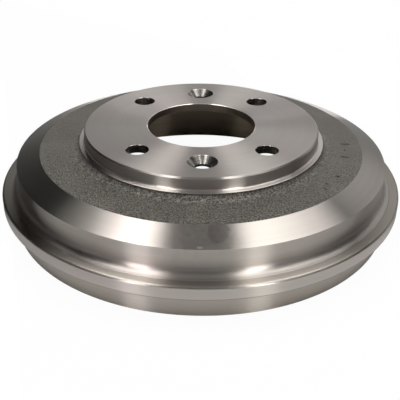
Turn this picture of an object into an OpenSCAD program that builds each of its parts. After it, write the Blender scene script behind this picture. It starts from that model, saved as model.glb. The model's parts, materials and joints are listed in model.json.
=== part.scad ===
// Rear brake drum of grey cast iron, for a small car.
// It is one casting: the raised mounting face (the hat), the flat web round it and the
// friction ring with its stiffening flange. The lathe has turned the hat, the cone, the
// barrel, the flange and the friction surface; the web and the inner corner stay as cast.
// The drum stands on its open rim. Z is its axis, and z = 0 is the rim's plane.
// All sizes are in millimetres.

/* [Friction ring] */
// Diameter of the friction surface
friction_d = 203.2; // [195:0.1:215]
// Wall between the friction surface and the barrel
barrel_wall = 6.25; // [5:0.05:9]
// Wall between the friction surface and the lip at the open end
lip_wall = 9.6; // [7:0.1:12]
// Height of the lip, from the rim to the flange
lip_h = 14.2; // [8:0.1:16]
// Chamfer at the mouth of the friction surface
mouth_chamfer = 0.8; // [0.4:0.1:2]
// Step between the friction surface and the cast wall above it
shoulder_h = 1; // [0.5:0.1:2]
// Radius of the rim's outer corner
rim_round = 0.6; // [0.3:0.1:1.5]

/* [Flange] */
// How far the flange stands out from the barrel
flange_reach = 9.7; // [7:0.1:12]
// Thickness of the flange
flange_t = 7.7; // [6:0.1:10]
// Fillet between the barrel and the flange
flange_fillet = 4; // [2:0.1:5]
// Radius of the flange's upper corner
flange_round = 1.4; // [0.5:0.1:2.5]
// Radius of the flange's lower corner
flange_low_round = 0.5; // [0.3:0.1:1.5]
// Fillet between the flange and the lip
lip_fillet = 0.8; // [0.4:0.1:2]

/* [Height and web] */
// Height of the whole drum
drum_h = 53.5; // [51:0.1:70]
// Thickness of the web
web_t = 5.6; // [4.5:0.1:7]
// How far the web falls from the hat to the cone
web_fall = 0.5; // [0.1:0.1:1.5]
// Width of the turned cone, seen from above
cone_w = 13.45; // [9:0.05:16]
// Height of the turned cone
cone_h = 5.5; // [4:0.1:8]
// Cast fillet between the web and the hat
web_fillet = 3; // [1.5:0.1:3.5]
// Cast fillet between the web and the friction ring, inside
corner_fillet = 4; // [2:0.1:5]

/* [Hat] */
// Diameter of the hat
hat_d = 136.8; // [132:0.1:150]
// Thickness of the mounting face
face_t = 5; // [4:0.1:7]
// Height of the hat over the web
hat_rise = 10.9; // [10:0.1:14]
// Height of the hat's turned side, down to the ledge
turned_h = 7.2; // [5:0.1:8]
// Width of the turned ledge at the hat's foot
ledge_w = 3.2; // [2:0.1:5]
// Fillet between the hat's side and the ledge
ledge_fillet = 1.3; // [0.5:0.1:1.8]
// Radius of the ledge's outer corner
ledge_round = 0.4; // [0.2:0.1:0.8]
// Chamfer of the hat's edge
hat_chamfer = 0.8; // [0.4:0.1:1.5]
// Wall between the hat's side and the pocket for the hub
hat_wall = 5.5; // [4:0.1:7]
// Fillet between the pocket's wall and the hub face
pocket_fillet = 1.5; // [0.5:0.1:2.5]
// Radius of the pocket's mouth
pocket_round = 2; // [0.5:0.1:3]

/* [Centre bore] */
// Diameter of the bore that centres the drum on its hub
bore_d = 63; // [54:0.1:72]
// Chamfer of the bore at the wheel's side
bore_chamfer = 0.3; // [0.1:0.05:0.8]
// Chamfer of the bore at the hub's side
bore_lead = 0.85; // [0.3:0.05:1.5]

/* [Wheel stud holes] */
// Diameter of the circle through the stud holes
stud_pcd = 100; // [98:0.1:102]
// Number of stud holes
stud_n = 4; // [4:2:6]
// Diameter of a stud hole
stud_d = 12.4; // [11:0.1:14]
// Chamfer of a stud hole, at both faces
stud_chamfer = 0.3; // [0.1:0.05:0.6]

/* [Retaining screw holes] */
// Diameter of the circle through the retaining screw holes
screw_pcd = 99; // [96:0.1:102]
// Number of retaining screw holes
screw_n = 2; // [1:1:2]
// Diameter of a retaining screw hole
screw_d = 9; // [6.6:0.1:10]
// Diameter of its countersink at the face
screw_head_d = 16.5; // [12:0.1:18]
// Angle of the countersink
screw_angle = 90; // [90:1:100]

/* [Hidden] */
$fn = 180;
// Cuts run past the faces that they open by this much
overcut = 1;
// Draft of the cast walls
draft = 2;
// Corner pieces reach past their corner by this share of their own depth, to leave no seam
corner_lap = 0.2;

hat_r = hat_d / 2;
ledge_r = hat_r + ledge_w;
bore_r = bore_d / 2;
friction_r = friction_d / 2;
cast_wall_r = friction_r - shoulder_h;
barrel_r = friction_r + barrel_wall;
lip_r = friction_r + lip_wall;
flange_r = barrel_r + flange_reach;
cone_in_r = barrel_r - cone_w;

hat_z = drum_h;
face_under_z = hat_z - face_t;
ledge_z = hat_z - turned_h;
web_in_z = hat_z - hat_rise;
web_out_z = web_in_z - web_fall;
cone_low_z = web_out_z - cone_h;
flange_top_z = lip_h + flange_t;

// The web's foot and the pocket's mouth lean outwards by the cast draft
web_in_r = ledge_r + (ledge_z - web_in_z) * tan(draft);
pocket_r = hat_r - hat_wall;
under_z = web_out_z - web_t;
pocket_mouth_r = pocket_r + (face_under_z - under_z) * tan(draft);
shoulder_z = under_z - corner_fillet - shoulder_h;

// Points of the drum's half section: radius, height and corner radius
section = [
    // Mounting face and turned side of the hat
    [bore_r + bore_chamfer, hat_z, 0],
    [bore_r, hat_z - bore_chamfer, 0],
    [bore_r, face_under_z + bore_lead, 0],
    [bore_r + bore_lead, face_under_z, 0],
    // Hub face, pocket wall and the underside of the web
    [pocket_r, face_under_z, pocket_fillet],
    [pocket_mouth_r, under_z, pocket_round],
    [cast_wall_r, under_z, corner_fillet],
    // Friction surface and the open rim
    [cast_wall_r, shoulder_z + shoulder_h, 0],
    [friction_r, shoulder_z, 0],
    [friction_r, mouth_chamfer, 0],
    [friction_r + mouth_chamfer, 0, 0],
    [lip_r, 0, rim_round],
    // Lip, flange, barrel and cone
    [lip_r, lip_h, lip_fillet],
    [flange_r, lip_h, flange_low_round],
    [flange_r, flange_top_z, flange_round],
    [barrel_r, flange_top_z, flange_fillet],
    [barrel_r, cone_low_z, 0],
    [cone_in_r, web_out_z, 0],
    // Cast web, turned ledge and the side of the hat
    [web_in_r, web_in_z, web_fillet],
    [ledge_r, ledge_z, ledge_round],
    [hat_r, ledge_z, ledge_fillet],
    [hat_r, hat_z - hat_chamfer, 0],
    [hat_r - hat_chamfer, hat_z, 0]
];

function place(p) = [p[0], p[1]];
function unit(v) = v / norm(v);

// Left turns, seen along the outline, are its outer corners
function turn(a, p, b) = cross(p - a, b - p);

// What lies between the corner p of a-p-b and the arc that rounds it
module corner_piece(a, p, b, radius) {
    to_a = unit(a - p);
    to_b = unit(b - p);
    middle = unit(to_a + to_b);
    half_angle = acos(to_a * middle);
    reach = radius / tan(half_angle);
    centre = p + middle * radius / sin(half_angle);
    difference() {
        polygon([
            p - middle * radius * corner_lap,
            p + to_a * reach,
            centre,
            p + to_b * reach
        ]);
        translate(centre) circle(r = radius);
    }
}

// The corner pieces on one side: side is 1 for outer corners and -1 for inner ones
module corner_pieces(points, side) {
    last = len(points) - 1;
    for (i = [0:last]) {
        a = place(points[i == 0 ? last : i - 1]);
        p = place(points[i]);
        b = place(points[i == last ? 0 : i + 1]);
        if (points[i][2] > 0 && side * turn(a, p, b) > 0) corner_piece(a, p, b, points[i][2]);
    }
}

// An outline with its inner corners filled and its outer corners rounded off
module rounded_outline(points) {
    difference() {
        union() {
            polygon([for (p = points) place(p)]);
            corner_pieces(points, -1);
        }
        corner_pieces(points, 1);
    }
}

// A plain hole through the mounting face, with a chamfer at each face
module stud_hole() {
    translate([0, 0, face_under_z - overcut]) cylinder(d = stud_d, h = face_t + 2 * overcut);
    translate([0, 0, hat_z - stud_chamfer])
        cylinder(d1 = stud_d, d2 = stud_d + 2 * (stud_chamfer + overcut), h = stud_chamfer + overcut);
    translate([0, 0, face_under_z - overcut])
        cylinder(d1 = stud_d + 2 * (stud_chamfer + overcut), d2 = stud_d, h = stud_chamfer + overcut);
}

// A countersunk hole, for the screw that keeps the drum on its hub
module screw_hole() {
    slope = tan(screw_angle / 2);
    sink_h = (screw_head_d - screw_d) / 2 / slope;
    translate([0, 0, face_under_z - overcut]) cylinder(d = screw_d, h = face_t + 2 * overcut);
    translate([0, 0, hat_z - sink_h])
        cylinder(d1 = screw_d, d2 = screw_head_d + 2 * overcut * slope, h = sink_h + overcut);
}

// Copies on a circle; the first one stands at the start angle
module on_circle(pcd, count, start) {
    for (i = [0:count - 1]) rotate(start + i * 360 / count) translate([pcd / 2, 0, 0]) children();
}

module brake_drum() {
    color([0.66, 0.64, 0.62])
        difference() {
            rotate_extrude() rounded_outline(section);
            on_circle(stud_pcd, stud_n, 90 + 180 / stud_n) stud_hole();
            on_circle(screw_pcd, screw_n, 90) screw_hole();
        }
}

brake_drum();
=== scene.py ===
# %% [markdown]
# # A rear brake drum
# A brake drum is one iron casting that is finished on a lathe. The wheel bolts against the
# raised face, which is called the hat. The flat web round the hat stays as cast, sandy and
# dark. The cone, the barrel, the flange and the inside of the ring are turned, so they are
# bright and carry fine circular tool marks.
#
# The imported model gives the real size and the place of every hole. This script builds the
# same drum with finer edges and a cast skin, and then gives it its metal.

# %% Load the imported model
import json
import math
import bmesh
import bpy
from mathutils import Matrix, Vector


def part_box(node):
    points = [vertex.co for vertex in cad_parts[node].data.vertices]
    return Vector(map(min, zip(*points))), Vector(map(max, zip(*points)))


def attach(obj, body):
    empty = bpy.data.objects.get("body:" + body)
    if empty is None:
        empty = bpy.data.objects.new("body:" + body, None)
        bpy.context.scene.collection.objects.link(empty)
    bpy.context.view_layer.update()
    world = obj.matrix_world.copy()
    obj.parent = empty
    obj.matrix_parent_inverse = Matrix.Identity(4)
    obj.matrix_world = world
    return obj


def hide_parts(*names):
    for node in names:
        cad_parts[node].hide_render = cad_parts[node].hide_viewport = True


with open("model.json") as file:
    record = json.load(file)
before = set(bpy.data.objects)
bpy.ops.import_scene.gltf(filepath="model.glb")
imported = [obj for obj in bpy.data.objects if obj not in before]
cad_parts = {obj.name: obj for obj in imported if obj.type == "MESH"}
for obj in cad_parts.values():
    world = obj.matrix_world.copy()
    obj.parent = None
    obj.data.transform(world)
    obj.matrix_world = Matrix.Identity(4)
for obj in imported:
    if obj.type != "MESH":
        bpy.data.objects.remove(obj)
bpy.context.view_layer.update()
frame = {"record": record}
mm = 0.001
mounts = {mount["name"]: mount for mount in frame["record"]["mounts"]}

# %% [markdown]
# The outline of the drum is a half section: a line in the plane through the axis. Its main
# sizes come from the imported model. The rest are the sizes of the turned and cast steps, and
# each has its own name here, so that a corner is never a bare number.

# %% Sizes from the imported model
drum_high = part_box("brake_drum")[1]
drum_h = drum_high.z
flange_r = drum_high.x
bore_r = mounts["centre_bore"]["dims"]["r_mm"] * mm
friction_r = mounts["friction_surface"]["dims"]["r_mm"] * mm
hub_face_z = mounts["hub_face"]["pos_m"][2]
stud_r = mounts["stud_holes"]["dims"]["hole_r_mm"] * mm
stud_circle_r = mounts["stud_holes"]["dims"]["pcd_mm"] * mm / 2
screw_r = mounts["retaining_screw_holes"]["dims"]["hole_r_mm"] * mm
screw_circle_r = mounts["retaining_screw_holes"]["dims"]["pcd_mm"] * mm / 2
print("Height", round(drum_h / mm, 2), "flange radius", round(flange_r / mm, 2))

# %% Sizes of the hat and the web
hat_r = 68.4 * mm
hat_chamfer = 0.8 * mm
turned_h = 7.2 * mm
ledge_r = 71.6 * mm
hat_rise = 10.9 * mm
web_fall = 0.5 * mm
web_t = 5.6 * mm
hat_wall = 5.5 * mm
web_fillet_r = 3 * mm
ledge_fillet_r = 0.9 * mm
ledge_round_r = 0.4 * mm
pocket_fillet_r = 1.5 * mm
pocket_round_r = 2 * mm
draft = math.radians(2)
bore_chamfer = 0.3 * mm
bore_lead = 0.85 * mm
print("The hat is", round(2 * hat_r / mm, 1), "mm wide")

# %% Sizes of the friction ring and the flange
barrel_r = 107.85 * mm
cone_w = 13.45 * mm
cone_h = 5.5 * mm
flange_t = 7.7 * mm
lip_h = 14.2 * mm
lip_r = 111.2 * mm
mouth_chamfer = 0.8 * mm
shoulder_h = 1 * mm
inner_corner_r = 4 * mm
rim_round_r = 0.6 * mm
lip_fillet_r = 0.8 * mm
flange_low_r = 0.5 * mm
flange_high_r = 1.4 * mm
print("The barrel is", round(2 * barrel_r / mm, 1), "mm wide")

# %% [markdown]
# The turning tool leaves small steps where one cut ends and the next begins. Two of them
# show at the foot of the barrel: a shallow step where the cove starts, and a thin groove
# where the cove runs out on the flange. They are only a fraction of a millimetre deep, but
# they draw the fine dark lines that make turned iron look turned. The cove's arc is drawn a
# little smaller than the cove, so that its ends stay clear of the corners beside it.

# %% Sizes of the tool steps
cove_r = 4 * mm
cove_arc_r = 0.98 * cove_r
cove_step = 0.12 * mm
cove_groove_w = 0.5 * mm
cove_groove_d = 0.16 * mm
edge_break = 0.15 * mm
print("The cove's radius is", round(cove_r / mm, 1), "mm")

# %% Heights and radii that follow
ledge_z = drum_h - turned_h
web_in_z = drum_h - hat_rise
web_out_z = web_in_z - web_fall
cone_in_r = barrel_r - cone_w
cone_low_z = web_out_z - cone_h
flange_top_z = lip_h + flange_t
web_in_r = ledge_r + (ledge_z - web_in_z) * math.tan(draft)
pocket_r = hat_r - hat_wall
under_z = web_out_z - web_t
pocket_mouth_r = pocket_r + (hub_face_z - under_z) * math.tan(draft)
cast_wall_r = friction_r - shoulder_h
shoulder_z = under_z - inner_corner_r - shoulder_h
cove_top_z = flange_top_z + cove_r
cove_end_r = barrel_r - cove_step + cove_r
print("Flange top", round(flange_top_z / mm, 2), "web", round(web_out_z / mm, 2))

# %% [markdown]
# Each corner of the section is written as radius, height and corner radius. The walk starts
# at the bore, goes down through it, out along the hidden underside, down the friction
# surface, round the rim and the flange and back over the cone, the web and the hat.

# %% The corners of the section
section = [
    (bore_r + bore_chamfer, drum_h, 0),
    (bore_r, drum_h - bore_chamfer, 0),
    (bore_r, hub_face_z + bore_lead, 0),
    (bore_r + bore_lead, hub_face_z, 0),
    (pocket_r, hub_face_z, pocket_fillet_r),
    (pocket_mouth_r, under_z, pocket_round_r),
    (cast_wall_r, under_z, inner_corner_r),
    (cast_wall_r, shoulder_z + shoulder_h, edge_break),
    (friction_r, shoulder_z, 0),
    (friction_r, mouth_chamfer, edge_break),
    (friction_r + mouth_chamfer, 0, edge_break),
    (lip_r, 0, rim_round_r),
    (lip_r, lip_h, lip_fillet_r),
    (flange_r, lip_h, flange_low_r),
    (flange_r, flange_top_z, flange_high_r),
    (cove_end_r + cove_groove_w, flange_top_z, edge_break / 2),
    (cove_end_r + cove_groove_w / 2, flange_top_z - cove_groove_d, edge_break / 2),
    (cove_end_r, flange_top_z, 0),
    (barrel_r - cove_step, flange_top_z, cove_arc_r),
    (barrel_r - cove_step, cove_top_z, 0),
    (barrel_r, cove_top_z + cove_step, edge_break / 2),
    (barrel_r, cone_low_z, edge_break),
    (cone_in_r, web_out_z, edge_break),
    (web_in_r, web_in_z, web_fillet_r),
    (ledge_r, ledge_z, ledge_round_r),
    (hat_r, ledge_z, ledge_fillet_r),
    (hat_r, drum_h - hat_chamfer, edge_break),
    (hat_r - hat_chamfer, drum_h, edge_break),
]
print(len(section), "corners")

# %% [markdown]
# In Blender the section is drawn as by hand. A small plane is merged to one point, the point
# is moved to the first corner and extruded from corner to corner, and the last edge closes
# the line. Selecting in code stands for clicking: everything is deselected first, then the
# vertices at a given place are selected.

# %% Helpers for selecting
def start_editing(piece):
    bpy.ops.object.select_all(action="DESELECT")
    piece.select_set(True)
    bpy.context.view_layer.objects.active = piece
    bpy.ops.object.mode_set(mode="EDIT")
    bpy.ops.mesh.select_all(action="DESELECT")


def stop_editing():
    bpy.ops.object.mode_set(mode="OBJECT")


def pick(piece, wanted, kind="verts"):
    """Selects the vertices, edges or faces for which wanted(part) is true, and counts them."""
    bpy.ops.mesh.select_all(action="DESELECT")
    mesh = bmesh.from_edit_mesh(piece.data)
    found = [part for part in getattr(mesh, kind) if wanted(part)]
    for part in found:
        part.select = True
    mesh.select_flush_mode()
    bmesh.update_edit_mesh(piece.data)
    return len(found)


def near(place, reach=0.01 * mm):
    return lambda vertex: (vertex.co - place).length < reach


# %% Draw the section from corner to corner
corners = [Vector((radius, 0, height)) for radius, height, rounding in section]
bpy.ops.object.select_all(action="DESELECT")
bpy.ops.mesh.primitive_plane_add(size=mm, location=corners[0])
drum = bpy.context.object
drum.name = "brake_drum_finished"
bpy.ops.object.transform_apply(location=True, rotation=False, scale=False)
start_editing(drum)
bpy.ops.mesh.select_all(action="SELECT")
bpy.ops.mesh.merge(type="CENTER")
for here, there in zip(corners, corners[1:]):
    bpy.ops.mesh.extrude_vertices_move(TRANSFORM_OT_translate={"value": there - here})
pick(drum, lambda vertex: near(corners[0])(vertex) or near(corners[-1])(vertex))
bpy.ops.mesh.edge_face_add()
stop_editing()
print(len(drum.data.vertices), "corners and", len(drum.data.edges), "edges")

# %% [markdown]
# A rounded corner is a vertex bevel. The bevel's offset is the distance from the corner to
# the point where the arc starts, which is the radius divided by the tangent of half the
# corner's angle. Big arcs get more segments than small ones, about two for each millimetre of
# their radius.

# %% Round the corners
segments_per_mm = 1.9
least_segments = 1.6


def arc_segments(rounding):
    return round(least_segments + segments_per_mm * rounding / mm)


start_editing(drum)
for number, (radius, height, rounding) in enumerate(section):
    if rounding > 0:
        here = corners[number]
        to_last = (corners[number - 1] - here).normalized()
        to_next = (corners[(number + 1) % len(corners)] - here).normalized()
        reach = rounding / math.tan(to_last.angle(to_next) / 2)
        pick(drum, near(here))
        bpy.ops.mesh.bevel(
            affect="VERTICES", offset=reach, segments=arc_segments(rounding), profile=0.5
        )
stop_editing()
print(len(drum.data.vertices), "points in the rounded section")

# %% [markdown]
# The web carries a cast skin, so its long straight line is cut into short pieces now. After
# the spin these become narrow rings, fine enough to be roughened.

# %% Cut the web's line into rings
web_ring_w = 0.9 * mm


def on_web_line(edge):
    """Whether an edge is the long one between the web's fillet and the cone."""
    middle = (edge.verts[0].co + edge.verts[1].co) / 2
    beside = web_in_r < middle.x < cone_in_r
    level = web_out_z < middle.z < web_in_z
    return beside and level and edge.calc_length() > (cone_in_r - web_in_r) / 2


start_editing(drum)
print(pick(drum, on_web_line, "edges"), "line picked")
bpy.ops.mesh.subdivide(number_cuts=round((cone_in_r - web_in_r) / web_ring_w))
stop_editing()
print(len(drum.data.vertices), "points in the section")

# %% [markdown]
# Spinning the section about the axis makes the drum, as the lathe would. The last step of
# the spin meets the first, so doubled points are merged, and the normals are turned outward.

# %% Spin the section
spin_steps = 640
start_editing(drum)
bpy.ops.mesh.select_all(action="SELECT")
bpy.ops.mesh.spin(steps=spin_steps, angle=math.tau, center=(0, 0, 0), axis=(0, 0, 1))
bpy.ops.mesh.select_all(action="SELECT")
bpy.ops.mesh.remove_doubles(threshold=0.002 * mm)
bpy.ops.mesh.normals_make_consistent(inside=False)
stop_editing()
print(len(drum.data.vertices), "vertices and", len(drum.data.polygons), "faces")

# %% [markdown]
# Sand moulding leaves a skin of grains and shallow lumps. Where the web curls up to the hat
# the lumps are largest, because the lathe stops just above and the corner of the mould
# crumbles. A vertex group says how strongly each point is moved, and two Displace modifiers
# with cloud textures move them: one for lumps and one for grains.

# %% Weigh the cast skin
skin_low_z = web_out_z - 0.2 * mm
skin_high_z = ledge_z - 0.5 * mm
skin_in_r = ledge_r + 0.2 * mm
skin_out_r = cone_in_r - 0.4 * mm
skin_fades_over = 5 * mm
skin_least = 0.3


def cast_weight(place):
    """How rough the casting is here, from 0 on turned faces to 1 in the fillet at the hat."""
    radius = math.hypot(place.x, place.y)
    if not (skin_in_r <= radius <= skin_out_r and skin_low_z < place.z <= skin_high_z):
        return 0
    past_fillet = (radius - web_in_r - web_fillet_r) / skin_fades_over
    return max(skin_least, min(1, 1 - past_fillet))


skin = drum.vertex_groups.new(name="cast_skin")
weights = [cast_weight(vertex.co) for vertex in drum.data.vertices]
for index, weight in enumerate(weights):
    if weight > 0:
        skin.add([index], weight, "REPLACE")
print(sum(weight > 0 for weight in weights), "vertices in the cast skin")

# %% Roughen the cast skin
def roughen(piece, name, grain, height):
    clouds = bpy.data.textures.new(name, "CLOUDS")
    clouds.noise_scale = grain
    clouds.noise_depth = 2
    push = piece.modifiers.new(name, "DISPLACE")
    push.texture = clouds
    push.texture_coords = "LOCAL"
    push.vertex_group = "cast_skin"
    push.strength = height
    push.mid_level = 0.5
    bpy.context.view_layer.objects.active = piece
    bpy.ops.object.modifier_apply(modifier=name)


roughen(drum, "lumps", 2.2 * mm, 0.35 * mm)
roughen(drum, "grains", 1.1 * mm, 0.3 * mm)
print("The cast skin is roughened")

# %% [markdown]
# The holes are cut as on a drill press. A cutter is a cylinder that runs past both faces.
# Bisecting it gives the rings at which its ends start to widen, and scaling the end rings
# makes the chamfers of a stud hole, or the countersink of a screw hole.

# %% A cutter for a hole
cutter_past = 1 * mm
cutter_sides = 96


def widen(cutter, ring_z, factor):
    pick(cutter, lambda vertex: abs(vertex.co.z - ring_z) < 0.01 * mm)
    bpy.ops.transform.resize(value=(factor, factor, 1), center_override=cutter_middle(cutter))


def cutter_middle(cutter):
    mesh = bmesh.from_edit_mesh(cutter.data)
    total = sum((vertex.co for vertex in mesh.verts), Vector())
    return total / len(mesh.verts)


def add_cutter(name, x, y, radius, top_widening, low_widening):
    """A drill for the mounting face. A widening is the extra radius at a face's plane."""
    bottom = hub_face_z - cutter_past
    top = drum_h + cutter_past
    bpy.ops.object.select_all(action="DESELECT")
    bpy.ops.mesh.primitive_cylinder_add(
        vertices=cutter_sides,
        radius=radius,
        depth=top - bottom,
        location=(x, y, (top + bottom) / 2),
    )
    cutter = bpy.context.object
    cutter.name = name
    bpy.ops.object.transform_apply(location=True, rotation=False, scale=False)
    start_editing(cutter)
    for height in (drum_h - top_widening, hub_face_z + low_widening):
        if hub_face_z < height < drum_h:
            bpy.ops.mesh.select_all(action="SELECT")
            bpy.ops.mesh.bisect(plane_co=(x, y, height), plane_no=(0, 0, 1))
    widen(cutter, top, (radius + top_widening + cutter_past) / radius)
    if low_widening > 0:
        widen(cutter, bottom, (radius + low_widening + cutter_past) / radius)
    stop_editing()
    return cutter


# %% Place the six cutters
stud_chamfer = 0.3 * mm
screw_head_r = 8.25 * mm
screw_sink = screw_head_r - screw_r
stud_turns = [math.radians(45 + 90 * number) for number in range(4)]
stud_places = [(stud_circle_r * math.cos(turn), stud_circle_r * math.sin(turn)) for turn in stud_turns]
screw_places = [(0, screw_circle_r), (0, -screw_circle_r)]
cutters = []
for number, (x, y) in enumerate(stud_places):
    cutters.append(add_cutter(f"stud_cutter_{number}", x, y, stud_r, stud_chamfer, stud_chamfer))
for number, (x, y) in enumerate(screw_places):
    cutters.append(add_cutter(f"screw_cutter_{number}", x, y, screw_r, screw_sink, 0))
print(len(cutters), "cutters")

# %% Cut the holes
def combine(piece, others, operation):
    """Cuts the others from the piece, or adds them to it, in one Boolean."""
    bpy.ops.object.select_all(action="DESELECT")
    for other in others:
        other.select_set(True)
    bpy.context.view_layer.objects.active = others[0]
    bpy.ops.object.join()
    joined = bpy.context.object
    boolean = piece.modifiers.new("combine", "BOOLEAN")
    boolean.operation = operation
    boolean.solver = "EXACT"
    boolean.object = joined
    bpy.context.view_layer.objects.active = piece
    bpy.ops.object.modifier_apply(modifier="combine")
    bpy.data.objects.remove(joined)


combine(drum, cutters, "DIFFERENCE")
print(len(drum.data.vertices), "vertices after the holes")

# %% [markdown]
# A foundry sets a few small raised bars on the web, which show how the casting lay in its
# mould. They are plain blocks with softened edges. Each one is a cube, sunk into the web and
# bevelled, and a Boolean union makes it one with the casting.

# %% Raised bars on the web
bar_h = 0.55 * mm
bar_sink = 1 * mm
bar_w = 0.9 * mm
bar_round_r = 0.22 * mm
# Radius and angle of a bar's middle, and its length, in millimetres and degrees
bars = [
    (86.5, -42, 2.6),
    (84.6, -38.5, 2.2),
    (85.9, -31, 2.4),
    (84.5, -14, 4.5),
    (84.6, -7.6, 1.2),
    (85.5, -2, 5.5),
]


def web_height(radius):
    return web_in_z - web_fall * (radius - web_in_r) / (cone_in_r - web_in_r)


def add_bar(radius, turn, length):
    """A raised bar that points away from the axis."""
    middle_z = web_height(radius) + (bar_h - bar_sink) / 2
    bpy.ops.object.select_all(action="DESELECT")
    bpy.ops.mesh.primitive_cube_add(
        size=1,
        location=(radius * math.cos(turn), radius * math.sin(turn), middle_z),
        rotation=(0, 0, turn),
        scale=(length, bar_w, bar_h + bar_sink),
    )
    bar = bpy.context.object
    bpy.ops.object.transform_apply(location=True, rotation=True, scale=True)
    start_editing(bar)
    bpy.ops.mesh.select_all(action="SELECT")
    bpy.ops.mesh.bevel(affect="EDGES", offset=bar_round_r, segments=2)
    stop_editing()
    return bar


made_bars = [add_bar(radius * mm, math.radians(turn), length * mm) for radius, turn, length in bars]
combine(drum, made_bars, "UNION")
print(len(drum.data.vertices), "vertices with", len(bars), "bars")

# %% [markdown]
# Smooth shading makes the facets of the spin vanish, and edges sharper than 30 degrees stay
# crisp. The Weighted Normal modifier then keeps the flat faces flat next to their small
# edge breaks.

# %% Smooth the faces
sharp_from = math.radians(30)
bpy.ops.object.select_all(action="DESELECT")
drum.select_set(True)
bpy.context.view_layer.objects.active = drum
bpy.ops.object.shade_smooth_by_angle(angle=sharp_from)
weighted = drum.modifiers.new("weighted_normals", "WEIGHTED_NORMAL")
weighted.keep_sharp = True
bpy.ops.object.modifier_apply(modifier="weighted_normals")
triangles = sum(len(face.vertices) - 2 for face in drum.data.polygons)
print(triangles, "triangles")

# %% [markdown]
# The metal is painted with shader nodes. Writing their sums as ordinary Python sums keeps
# them readable, so a small class wraps a socket and adds a Math node for each operator.

# %% Sums on sockets
class Signal:
    """A socket that changes over the surface. Sums on it add Math nodes."""

    def __init__(self, paint, socket):
        self.paint = paint
        self.socket = socket

    def maths(self, operation, *values):
        return self.paint.add("ShaderNodeMath", {"operation": operation}, dict(enumerate(values)))

    def __add__(self, other):
        return self.maths("ADD", self, other)

    def __radd__(self, other):
        return self.maths("ADD", other, self)

    def __sub__(self, other):
        return self.maths("SUBTRACT", self, other)

    def __rsub__(self, other):
        return self.maths("SUBTRACT", other, self)

    def __mul__(self, other):
        return self.maths("MULTIPLY", self, other)

    def __rmul__(self, other):
        return self.maths("MULTIPLY", other, self)

    def __truediv__(self, other):
        return self.maths("DIVIDE", self, other)

    def __rtruediv__(self, other):
        return self.maths("DIVIDE", other, self)

    def larger(self, other):
        return self.maths("MAXIMUM", self, other)

    def root(self):
        return self.maths("SQRT", self)

    def between(self, start, end):
        """0 before start, 1 after end, and a smooth rise between them."""
        limits = {"Value": self, "From Min": start, "From Max": end}
        return self.paint.add(
            "ShaderNodeMapRange", {"interpolation_type": "SMOOTHSTEP"}, limits, "Result"
        )


class Paint:
    """A material whose nodes are added by one method."""

    def __init__(self, name):
        self.material = bpy.data.materials.new(name)
        self.material.use_nodes = True
        self.nodes = self.material.node_tree.nodes
        self.links = self.material.node_tree.links
        self.shader = self.nodes["Principled BSDF"]

    def add(self, kind, settings=None, inputs=None, output=0):
        node = self.nodes.new(kind)
        for key, value in (settings or {}).items():
            setattr(node, key, value)
        for key, value in (inputs or {}).items():
            self.feed(node.inputs[key], value)
        return Signal(self, node.outputs[output])

    def feed(self, socket, value):
        if isinstance(value, Signal):
            self.links.new(value.socket, socket)
        else:
            socket.default_value = value

    def noise(self, vector, scale, detail=2.0):
        """Noise from about -0.5 to 0.5."""
        inputs = {"Vector": vector, "Scale": scale, "Detail": detail}
        return self.add("ShaderNodeTexNoise", {}, inputs) - 0.5

    def mix(self, share, colour, other):
        """A colour, or the other one where share is 1."""
        return self.add(
            "ShaderNodeMix", {"data_type": "RGBA"}, {"Factor": share, 6: colour, 7: other}, 2
        )

    def brighter(self, colour, factor):
        return self.add(
            "ShaderNodeVectorMath", {"operation": "SCALE"}, {0: colour, "Scale": factor}
        )

    def finish(self, **inputs):
        for key, value in inputs.items():
            self.feed(self.shader.inputs[key.replace("_", " ")], value)
        return self.material


# %% [markdown]
# A lathe tool leaves a spiral of fine grooves, so everything on a turned face is long round
# the axis and narrow across it. The marks are made from noise on two numbers: the direction
# from the axis, and the place along the outline. Radius less height always grows from the
# hat to the rim, so it serves as that place on flat, sloping and upright faces alike.

# %% Places on the lathe
class LathePlace:
    """Where a point of the drum is, as the lathe sees it. Lengths are in millimetres."""

    def __init__(self, paint):
        self.paint = paint
        self.point = paint.add("ShaderNodeTexCoord", output="Object")
        parts = [paint.add("ShaderNodeSeparateXYZ", {}, {0: self.point}, axis) for axis in range(3)]
        self.x, self.y, self.height = (part / mm for part in parts)
        self.radius = (self.x * self.x + self.y * self.y).root()
        self.along = self.radius - self.height
        across = {0: self.x / self.radius, 1: self.y / self.radius, 2: self.along}
        self.swept = paint.add("ShaderNodeCombineXYZ", {}, across)

    def marks(self, turns, width, detail=2.0):
        """Tool marks of a width in millimetres. More turns make them shorter round the axis."""
        stretch = {0: self.swept, 1: (turns, turns, 1 / width)}
        stretched = self.paint.add("ShaderNodeVectorMath", {"operation": "MULTIPLY"}, stretch)
        return self.paint.noise(stretched, 1.0, detail)


# %% [markdown]
# At the front of the cone the fresh metal has been rubbed, and it shows as a dull haze. A dark
# patch in the haze is a painted reflection of a dark object, and one nick at the lower edge is
# painted bright as a glint. Each mark is a number from 0 to 1 that is worked out from the place on
# the drum, with a little noise on its outline.

# %% Marks on the cone
cone_span = (cone_in_r / mm, barrel_r / mm)
haze_left, haze_right = -16.0, 16.0
haze_waves = 9
reflection_x, reflection_radius = 7.0, 97.5
reflection_span = (4.6, 5.8)
reflection_waves = 3
nick_x, nick_inset = -1.8, 1.2
nick_span = (0.4, 0.8)


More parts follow.
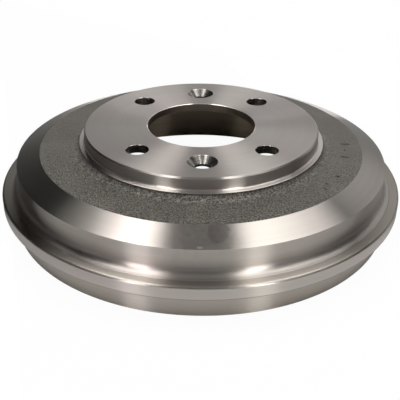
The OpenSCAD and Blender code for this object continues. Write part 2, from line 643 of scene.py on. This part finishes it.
def cone_marks(place):
    """How strongly the cone is rubbed here, where its painted dark reflection lies, and where its nick
    is painted with a glint.
    """
    warp = place.paint.noise(place.point, 160.0, 2.0)
    blotches = place.paint.noise(place.point, 330.0, 3.0)
    front = (0 - place.y).between(cone_span[0] - 6, cone_span[0] - 2)
    on_cone = front * (1 - place.radius.between(cone_span[1] - 0.5, cone_span[1] + 0.3))
    sideways = place.x + warp * haze_waves
    past_left = sideways.between(haze_left - 2, haze_left + 3)
    past_right = sideways.between(haze_right - 4, haze_right + 1)
    haze = past_left * (1 - past_right) * (0.8 + blotches * 2.2)
    # Painted reflection: a dark patch that stands for a dark object mirrored in the cone.
    aside = place.x - reflection_x
    outward = (place.radius - reflection_radius) * 0.75
    dark_reflection = 1 - ((aside * aside + outward * outward).root() + warp * reflection_waves).between(*reflection_span)
    # Painted glint: the nick at the cone's lower edge is painted bright.
    beside_nick = (place.x - nick_x) * 0.4
    off_edge = place.radius - cone_span[1] + nick_inset
    nick_glint = 1 - (beside_nick * beside_nick + off_edge * off_edge).root().between(*nick_span)
    return haze * on_cone, dark_reflection * on_cone, nick_glint * on_cone


# %% [markdown]
# The ring was cut in several passes, and they don't look quite the same. The cove is duller,
# the flange's top is browner and the lip is more olive. A thin dark line along the flange's
# lower edge is painted shade, where the edge mirrors the shade under the flange. The bore's
# chamfer and the ledge at the hat's foot are painted brighter, as painted highlights.

# %% Marks on the ring and the hat
def ring_marks(place):
    """The cove, the flange's top, the lip, the painted shade on the flange's lower edge and the
    painted highlight on the bore's chamfer.
    """
    outside = place.radius.between(friction_r / mm + 2, friction_r / mm + 3)
    low = 1 - place.height.between(flange_top_z / mm - 0.9, flange_top_z / mm - 0.5)
    over_cove = place.height.between(cove_top_z / mm - 0.3, cove_top_z / mm)
    cove = outside * (1 - over_cove) * (1 - low)
    flange_top = cove * place.radius.between(cove_end_r / mm, cove_end_r / mm + 0.6)
    below_flange = 1 - place.height.between(lip_h / mm - 0.3, lip_h / mm)
    # Painted shade: a thin dark line along the flange's lower edge.
    near_edge = 1 - place.height.between(lip_h / mm + 0.45, lip_h / mm + 0.9)
    flange_edge_shade = near_edge * place.radius.between(lip_r / mm + 1, lip_r / mm + 2)
    # Painted highlight: the bore's chamfer is painted brighter.
    bore_edge_highlight = 1 - place.radius.between(bore_r / mm + 0.35, bore_r / mm + 0.5)
    return cove, flange_top, outside * below_flange, flange_edge_shade, bore_edge_highlight


def hat_marks(place):
    """The painted highlight on the ledge at the hat's foot, and the painted shade on the hat's side.
    """
    around = place.radius.between(hat_r / mm - 0.1, hat_r / mm + 0.3)
    # Painted highlight: the ledge and its fillet are painted brighter.
    ledge_highlight = around * place.height.between(ledge_z / mm - 1.0, ledge_z / mm - 0.5)
    # Painted shade: the hat's side wall is painted darker.
    beside = place.radius.between(hat_r / mm - 0.3, hat_r / mm - 0.1)
    low = 1 - place.height.between(drum_h / mm - 1.1, drum_h / mm - 0.7)
    high = place.height.between(ledge_z / mm + 0.6, ledge_z / mm + 1.0)
    return ledge_highlight * (1 - high), beside * low * high


# %% [markdown]
# Turned grey iron is a metal with grooves, so it spreads light across the grooves and hardly
# along them. That gives the sharp upright bands of light on the barrel and the fans of light
# on the hat. In the shader this is full anisotropy, turned a quarter, so that the spread runs
# across the circles. The marks vary the roughness and the colour a little, and a low bump
# lets the coarsest grooves catch light. Broad, faint patches of pink and olive are the thin
# oxide that bare iron gets within days.

# %% Turned iron
lip_oxide = (0.385, 0.35, 0.308, 1)
flange_oxide = (0.35, 0.316, 0.28, 1)
turned_roughness = 0.29
groove_d = 0.012 * mm


def turned_finish(name, pink, olive, strength):
    """Turned iron between two oxide tints. The strength is that of its lines."""
    paint = Paint(name)
    place = LathePlace(paint)
    grooves = place.marks(0, 0.45)
    feed = place.marks(0.6, 2.4)
    arcs = place.marks(5, 0.8, 3.0)
    patches = paint.noise(place.point, 22.0, 3.0)
    haze, dark_reflection, nick_glint = cone_marks(place)
    cove, flange_top, lip, flange_edge_shade, bore_edge_highlight = ring_marks(place)
    ledge_highlight, hat_side_shade = hat_marks(place)
    ring = place.radius.between(cone_span[1] - 0.4, cone_span[1] + 0.2)

    oxide = paint.mix(patches * 2.4 + 0.5, pink, olive)
    oxide = paint.mix(lip * (patches * 2.0 + 0.6), oxide, lip_oxide)
    oxide = paint.mix(flange_top, oxide, flange_oxide)

    lines = grooves * 0.12 + feed * 0.14 + arcs * 0.07
    tone = 1 + lines * strength + patches * 0.12
    # The ledge, the bore's chamfer and the nick are painted highlights.
    tone = tone + ring * 0.12 + cove * 0.02 + ledge_highlight * 0.8 + bore_edge_highlight * 1.2 + nick_glint * 0.7
    # The dark patch on the cone is a painted reflection, and the flange's lower edge and the hat's
    # side are painted shade.
    tone = tone - haze * 0.16 - dark_reflection * 0.2 - flange_edge_shade * 0.45 - hat_side_shade * 0.22 - flange_top * 0.1

    rough = turned_roughness + grooves * 0.05 + arcs * 0.03 + haze * 0.05 + cove * 0.03
    low_bump = {"Height": grooves + feed * 1.5, "Strength": 1.0, "Distance": groove_d}
    return paint.finish(
        Base_Color=paint.brighter(oxide, tone),
        Metallic=1.0,
        Roughness=rough,
        Anisotropic=1.0,
        Anisotropic_Rotation=0.25,
        Normal=paint.add("ShaderNodeBump", {}, low_bump, "Normal"),
    )


# %% [markdown]
# The cast skin is not polished by anything, so it is dark and nearly dull. Two sizes of noise
# colour it like sand, a third one makes broad cloudy patches, and a bump deepens the grains
# that the displaced mesh can't hold. The sand was packed by hand, so its grain is coarser on
# one side, towards -Y. In the fillet at the hat's foot the lumps carry lighter speckles, painted
# highlights where the fillet tilts towards the light. A line just under the ledge is painted shade.

# %% Cast skin
dark_sand, light_sand = (0.04, 0.037, 0.031, 1), (0.158, 0.145, 0.127, 1)
# The colour of the painted highlights on the fillet's lumps.
speckle_highlight_colour = (0.19, 0.178, 0.158, 1)
pit_d = 0.16 * mm


def cast_finish():
    paint = Paint("cast_finish")
    place = LathePlace(paint)
    grains = paint.noise(place.point, 1300.0, 2.0)
    lumps = paint.noise(place.point, 500.0, 2.0)
    clouds = paint.noise(place.point, 45.0, 3.0)
    foot = 1 - place.radius.between(web_in_r / mm + 1.5, web_in_r / mm + 5.0)
    # Painted shadow: a dark line on the cast wall just under the ledge's edge.
    shadow_under_ledge = place.height.between(ledge_z / mm - 1.6, ledge_z / mm - 0.6)
    # Painted highlight: lighter, slightly metallic speckles on the lumps in the fillet at the hat's
    # foot.
    speckle_highlights = (grains + lumps * 0.6).between(-0.1, 0.2) * foot * (1 - shadow_under_ledge)
    coarse = (0 - place.y).between(-10.0, 55.0) * (1 - place.x.between(25.0, 75.0) * 0.5)

    sand = paint.mix(grains * (1.1 + coarse * 3.2) + 0.5, dark_sand, light_sand)
    tone = 1 + clouds * 0.7 + lumps * (0.3 + coarse * 0.9) - shadow_under_ledge * 0.55
    pits = {"Height": grains + lumps, "Strength": 1.0, "Distance": pit_d}
    return paint.finish(
        Base_Color=paint.brighter(paint.mix(speckle_highlights, sand, speckle_highlight_colour), tone),
        Metallic=speckle_highlights * 0.3,
        Roughness=0.62 - grains * 0.2,
        Specular_IOR_Level=0.25,
        Normal=paint.add("ShaderNodeBump", {}, pits, "Normal"),
    )


# %% [markdown]
# The holes are drilled and countersunk, so their grooves run round their own axes and not
# round the drum's. They are small, so a finish without a direction looks right on them. Their
# upper chamfer is painted brighter, a painted glint on its edge.

# %% Drilled walls
def drilled_finish(name, colour, roughness):
    """Iron cut by a drill, with faint rings and patches."""
    paint = Paint(name)
    place = LathePlace(paint)
    rings = paint.noise(place.height * 2.2, 1.0, 2.0)
    patches = paint.noise(place.point, 300.0, 2.0)
    # Painted glint: the upper chamfer of each hole is painted brighter.
    chamfer_glint = place.height.between(drum_h / mm - 0.4, drum_h / mm - 0.25)
    tone = 1 + patches * 0.3 + rings * 0.25 + chamfer_glint * 0.5
    return paint.finish(
        Base_Color=paint.brighter(colour, tone),
        Metallic=1.0,
        Roughness=roughness + patches * 0.08,
    )


# %% [markdown]
# The inside of the drum and the wall of the bore still carry the thin brown film of oil that
# keeps them from rusting in store. It tints every reflection there, and light that bounces
# inside is tinted more than once.

# %% All the finishes
pink_oxide, olive_oxide = (0.401, 0.352, 0.334, 1), (0.38, 0.359, 0.322, 1)
oil_brown, oil_olive = (0.37, 0.295, 0.225, 1), (0.34, 0.285, 0.2, 1)
drilled_iron, oily_bore = (0.33, 0.305, 0.28), (0.3, 0.245, 0.205)
finishes = [
    turned_finish("turned_finish", pink_oxide, olive_oxide, 1.0),
    cast_finish(),
    drilled_finish("countersunk_finish", drilled_iron, 0.26),
    drilled_finish("bore_finish", oily_bore, 0.4),
    turned_finish("oiled_finish", oil_brown, oil_olive, 2.5),
]
drum.data.materials.clear()
for finish in finishes:
    drum.data.materials.append(finish)
print([finish.name for finish in finishes])


# %% [markdown]
# Which finish a face gets follows from where it is: how far from the axis, how high, and
# whether it lies in one of the holes.

# %% Give each face its finish
def is_cast(face):
    """The web's top, the pocket's wall and the corner under the web are left as cast."""
    radius = math.hypot(face.center.x, face.center.y)
    height = face.center.z
    on_web = ledge_r - 0.1 * mm < radius < cone_in_r and web_out_z - 0.3 * mm < height < ledge_z
    in_pocket = pocket_r - 2 * mm < radius < pocket_mouth_r + 2 * mm and height < hub_face_z
    under_web = pocket_mouth_r < radius < cast_wall_r + 0.2 * mm
    inside = (in_pocket or under_web and height < under_z + 0.3 * mm) and height > shoulder_z
    return on_web or inside


hole_reaches = [(x, y, stud_r + stud_chamfer) for x, y in stud_places]
hole_reaches += [(x, y, screw_head_r + stud_chamfer) for x, y in screw_places]


def is_drilled(face):
    """The walls of the stud holes and the screw holes, with their chamfers."""
    if face.center.z < hub_face_z - 0.1 * mm or abs(face.normal.z) > 0.9:
        return False
    return any(
        math.hypot(face.center.x - x, face.center.y - y) < reach for x, y, reach in hole_reaches
    )


def is_bore(face):
    """The straight wall of the centre bore and its lower chamfer."""
    radius = math.hypot(face.center.x, face.center.y)
    return radius < bore_r + bore_lead and face.center.z < drum_h - bore_chamfer


def is_oiled(face):
    """The turned friction surface and the hub face."""
    radius = math.hypot(face.center.x, face.center.y)
    hub_face = radius < pocket_r and face.center.z < hub_face_z + 0.01 * mm
    return hub_face or radius < friction_r + 0.1 * mm and face.center.z < shoulder_z + shoulder_h


def finish_number(face):
    """The slot of a face: 0 turned, 1 cast, 2 drilled, 3 the bore and 4 oiled."""
    tests = (is_cast, is_drilled, is_bore, is_oiled)
    return next((number for number, test in enumerate(tests, 1) if test(face)), 0)


for face in drum.data.polygons:
    face.material_index = finish_number(face)
numbers = [face.material_index for face in drum.data.polygons]
print("Faces of each finish:", [numbers.count(number) for number in range(len(finishes))])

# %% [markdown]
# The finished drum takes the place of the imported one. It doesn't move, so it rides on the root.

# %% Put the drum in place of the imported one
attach(drum, "root")
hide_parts("brake_drum")
print(drum.name, "replaces brake_drum")

# %% [markdown]
# The drum stands on white paper. The paper glows at white for what looks straight at it and
# for what mirrors it, so the background is white without more light on the drum, and a small
# share of plain paper keeps the drum's shadow. Under the drum the paper lies in its shade, so
# the inside of the ring mirrors dark paper.

# %% Floor
floor_wide = 12
white = (1, 1, 1, 1)
white_share = 0.96


def floor_paper():
    """Paper that looks white round the drum, and plain under it."""
    paint = Paint("floor_paper")
    place = LathePlace(paint)
    seen, mirrored, through = (
        paint.add("ShaderNodeLightPath", output=kind)
        for kind in ("Is Camera Ray", "Is Glossy Ray", "Is Transmission Ray")
    )
    open_paper = place.radius.between(lip_r / mm - 2, lip_r / mm + 22)
    straight = seen.larger(through).larger(mirrored * open_paper)
    glow = paint.add("ShaderNodeEmission", {}, {"Color": white, "Strength": 1.0})
    paint.finish(Base_Color=(0.8, 0.8, 0.8, 1), Roughness=1.0)
    plain = Signal(paint, paint.shader.outputs[0])
    paper = paint.add("ShaderNodeMixShader", {}, {0: straight * white_share, 1: plain, 2: glow})
    paint.links.new(paper.socket, paint.nodes["Material Output"].inputs["Surface"])
    return paint.material


bpy.ops.object.select_all(action="DESELECT")
bpy.ops.mesh.primitive_plane_add(size=floor_wide)
floor = bpy.context.object
floor.name = "floor"
floor.data.materials.append(floor_paper())
print("The paper is", floor_wide, "m wide")

# %% [markdown]
# Bare metal shows the room, so the room decides how it looks. A dark tent of black cloth
# stands round the table, and soft lamps inside it draw the bands of light. The camera looks
# through the tent, as through a gap in the cloth, and sees the white studio behind. Only the
# part above the table is kept of the ball that the tent is made from.

# %% Black tent
tent_r = 3.5
tent_foot_z = 1 * mm


def paper(name, shade):
    """Dull paper or cloth. Its shade is 0 for black and 1 for white."""
    return Paint(name).finish(Base_Color=(shade, shade, shade, 1), Roughness=1.0)


black = paper("black_cloth", 0.03)
grey = paper("grey_card", 0.35)
pale = paper("pale_card", 0.75)

bpy.ops.object.select_all(action="DESELECT")
bpy.ops.mesh.primitive_uv_sphere_add(segments=48, ring_count=24, radius=tent_r)
tent = bpy.context.object
tent.name = "black_tent"
tent.data.materials.append(black)
start_editing(tent)
bpy.ops.mesh.select_all(action="SELECT")
bpy.ops.mesh.bisect(plane_co=(0, 0, tent_foot_z), plane_no=(0, 0, 1), clear_inner=True)
stop_editing()
tent.visible_camera = False
print("The tent is", 2 * tent_r, "m wide")

# %% [markdown]
# Low on the drum, the metal mirrors the paper next to it. A photographer takes that white away
# where it flattens the shape: cards are slid up to the drum's sides, one pale, one black and
# one grey. They lie flat and show only in the metal. The pale and the black one overlap, so
# they lie at different heights: two faces in one plane would fight over what is seen.

# %% Cards on the paper
card_wide = 0.5


def card_on_paper(name, azimuth, near_edge, height, finish):
    """A card whose near edge is square to the azimuth. Azimuth 0 is towards the camera."""
    turn = math.radians(azimuth)
    middle = near_edge + card_wide / 2
    bpy.ops.object.select_all(action="DESELECT")
    bpy.ops.mesh.primitive_plane_add(size=card_wide)
    card = bpy.context.object
    card.name = name
    card.data.materials.append(finish)
    card.location = (math.sin(turn) * middle, -math.cos(turn) * middle, height)
    card.rotation_euler = (0, 0, turn)
    card.visible_camera = False
    card.visible_shadow = False


card_on_paper("card_front_left", -76, 0.115, 0.3 * mm, pale)
card_on_paper("card_left", -128, 0.092, 0.6 * mm, black)
card_on_paper("card_right", 108, 0.11, 0.3 * mm, grey)
print("Three cards of", card_wide, "m lie beside the drum")

# %% [markdown]
# The world behind the tent is plain white. Only the camera sees it, and it is the background.

# %% White studio
world = bpy.data.worlds.new("studio")
world.use_nodes = True
world.node_tree.nodes["Background"].inputs["Color"].default_value = white
world.node_tree.nodes["Background"].inputs["Strength"].default_value = 1.0
bpy.context.scene.world = world
print("The studio behind the tent is white")

# %% [markdown]
# Tall banks stand left and right of the camera and give the bright bands at the front of the
# barrel and the cone. Each is stacked from lamps of different brightness, because the barrel
# mirrors their feet, the cone mirrors their heads, and the two are not equally bright. Long
# strips hang over the drum and run away from the camera. They give the fans of light on the
# hat, and they dim towards the back. A dim wall behind lights the hat evenly, a low card in
# front of it brightens the far edges, and the ceiling and the sky at the front fill the rest.

# %% Lamps
def lamp(name, where, wide, tall, glow):
    """A soft lamp that faces down. Its glow is the brightness of its face: 1 is white."""
    light = bpy.data.lights.new(name, "AREA")
    light.shape = "RECTANGLE"
    light.size = wide
    light.size_y = tall
    light.energy = glow * math.pi * wide * tall
    piece = bpy.data.objects.new(name, light)
    bpy.context.scene.collection.objects.link(piece)
    piece.location = where
    piece.visible_camera = False
    return piece


def bank(name, azimuth, distance, wide, low, high, glow):
    """An upright lamp that faces the axis. Azimuth 0 is the camera's side and 90 the right."""
    turn = math.radians(azimuth)
    middle = (low + high) / 2
    where = Vector((math.sin(turn) * distance, -math.cos(turn) * distance, middle))
    piece = lamp(name, where, wide, high - low, glow)
    piece.rotation_euler = (math.pi / 2, 0, turn)


def strip(name, x, near_y, far_y, height, wide, glow):
    """A lamp that hangs level over the table and runs away from the camera."""
    lamp(name, (x, (near_y + far_y) / 2, height), wide, far_y - near_y, glow)


# A strip's numbers: x, nearest y, farthest y, height and width in metres, and glow
# A bank's numbers: azimuth, distance, width, lowest and highest point in metres, and glow
strip("ceiling", 0.0, -0.6, 1.0, 2.0, 0.75, 0.5)
bank("front_sky", 0, 1.3, 1.0, 1.3, 2.4, 0.6)
bank("bank_right_low", 31, 1.6, 0.34, 0.0, 0.85, 5.6)
bank("bank_right_middle", 31, 1.6, 0.34, 0.85, 1.7, 5.0)
bank("bank_right_high", 31, 1.6, 0.3, 1.7, 3.0, 7.2)
bank("bank_left_low", -34, 1.6, 0.34, 0.0, 0.9, 6.4)
bank("bank_left_high", -36, 1.6, 0.45, 1.7, 3.0, 8.0)
strip("strip_left_near", -0.59, -0.3, 0.2, 1.6, 0.5, 6.8)
strip("strip_left_middle", -0.59, 0.2, 0.7, 1.6, 0.5, 4.8)
strip("strip_left_far", -0.59, 0.7, 1.2, 1.6, 0.5, 3.2)
strip("strip_left_outer", -1.03, 0.6, 1.2, 1.6, 0.36, 0.8)
strip("strip_right_near", 0.59, -0.3, 0.2, 1.6, 0.5, 5.1)
strip("strip_right_middle", 0.59, 0.2, 0.7, 1.6, 0.5, 3.7)
strip("strip_right_far", 0.59, 0.7, 1.2, 1.6, 0.5, 2.8)
strip("strip_right_outer", 1.03, -0.3, 1.2, 1.6, 0.36, 3.4)
bank("rear_wall", 155, 1.9, 3.2, 0.45, 1.9, 0.66)
bank("rear_card", 177, 1.85, 1.1, 0.0, 0.4, 3.4)
print(len(bpy.data.lights), "lamps")

# %% [markdown]
# The camera stands low in front of the drum, about 0.4 m away, so the near edge looks larger
# than the far one. Its place comes from the shape of the ellipses that the round edges make in
# the picture. It starts by looking down at the middle of the hat. Then it is rolled a little,
# moved in its own picture plane so that the whole drum fits, and swung a little round the
# drum. The lens is given as a share of the film's width, which is what sets the field of view.

# %% Camera
camera_distance = 411.6 * mm
camera_elevation = math.radians(29.68)
camera_roll = math.radians(-0.71)
camera_turn = math.radians(-0.95)
hat_aside = 0.78 * mm
hat_up = 44.78 * mm
film_wide = 36
focal_share = 1.75

right = Vector((1, 0, 0))
back = Vector((0, -math.cos(camera_elevation), math.sin(camera_elevation)))
up = back.cross(right)
axes = Matrix.Rotation(camera_roll, 3, "Z") @ Matrix((right, up, back))
facing = axes.transposed()
eye = Vector((0, 0, drum_h)) + back * camera_distance - facing @ Vector((hat_aside, hat_up, 0))

lens = bpy.data.cameras.new("camera")
lens.sensor_width = film_wide
lens.lens = focal_share * film_wide
lens.clip_start = 10 * mm
camera = bpy.data.objects.new("camera", lens)
bpy.context.scene.collection.objects.link(camera)
standing = Matrix.Translation(eye) @ facing.to_4x4()
camera.matrix_world = Matrix.Rotation(camera_turn, 4, "Z") @ standing
bpy.context.scene.camera = camera
bpy.context.scene.view_settings.view_transform = "Standard"
print("The lens is", round(lens.lens, 1), "mm long")
